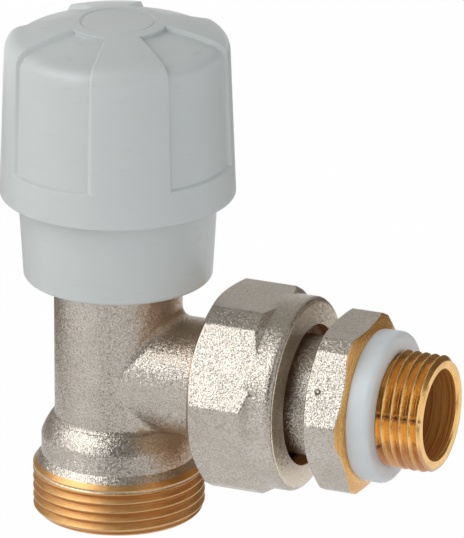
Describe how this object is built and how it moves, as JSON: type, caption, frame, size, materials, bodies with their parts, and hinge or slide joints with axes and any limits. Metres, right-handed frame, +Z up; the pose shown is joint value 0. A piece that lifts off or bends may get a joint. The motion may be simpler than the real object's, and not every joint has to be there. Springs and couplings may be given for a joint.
{
  "type": "manual radiator valve",
  "caption": "Angle pattern manual radiator valve: ribbed handwheel over a plain collar, threaded pipe foot, and a side branch with a union nut and a threaded tailpiece with its sealing ring.",
  "frame": {"origin": "centre of the pipe mouth at the foot of the body", "axes": "+Z up the valve axis to the handwheel, +X out along the branch to the radiator, +Y completes the right-handed frame"},
  "size_m": [0.0659, 0.0334, 0.0732],
  "materials": {
    "plated_brass": "brass, blasted and nickel plated to a sparkling satin; the outside threads and turned edges are bare brass",
    "raw_brass": "turned bare brass",
    "grey_moulding": "pale cool grey moulded plastic with a fine matt texture",
    "white_seal": "milky white soft plastic, slightly translucent",
    "black_rubber": "matt black rubber",
    "steel": "bright steel"
  },
  "bodies": {
    "body": {"valve_body": "plated_brass", "bonnet": "raw_brass", "bonnet_o_ring": "black_rubber", "packing_washer": "raw_brass", "stem_o_ring_lower": "black_rubber", "stem_o_ring_upper": "black_rubber", "gland_nut": "raw_brass", "skirt_collar": "grey_moulding"},
    "plug": {"plug": "raw_brass", "plug_clip": "steel", "seat_seal": "black_rubber", "seal_washer": "steel", "seal_screw": "steel"},
    "handwheel": {"handwheel": "grey_moulding", "handwheel_cover_disc": "grey_moulding", "handwheel_screw": "steel", "spindle": "raw_brass"},
    "tailpiece": {"tailpiece": "plated_brass", "tail_seal_ring": "white_seal", "tail_o_ring": "black_rubber", "nut_retaining_ring": "steel"},
    "union_nut": {"union_nut": "plated_brass"}
  },
  "joints": [
    {"name": "plug_lift", "type": "slide", "parent": "body", "child": "plug", "axis": [0, 0, 1], "range_m": [0, 0.00375]},
    {"name": "handwheel_turn", "type": "hinge", "parent": "plug", "child": "handwheel", "pos_m": [0, 0, 0], "axis": [0, 0, 1], "range_deg": [0, 900]},
    {"name": "tail_slide", "type": "slide", "parent": "body", "child": "tailpiece", "axis": [1, 0, 0], "range_m": [0, 0.00907]},
    {"name": "union_nut_turn", "type": "hinge", "parent": "tailpiece", "child": "union_nut", "pos_m": [0, 0, 0.0215], "axis": [1, 0, 0], "range_deg": [0, 1800]}
  ],
  "couplings": [
    {"joint": "handwheel_turn", "follows": "plug_lift", "rad_per_m": 4188.8},
    {"joint": "union_nut_turn", "follows": "tail_slide", "rad_per_m": 3463.7}
  ]
}
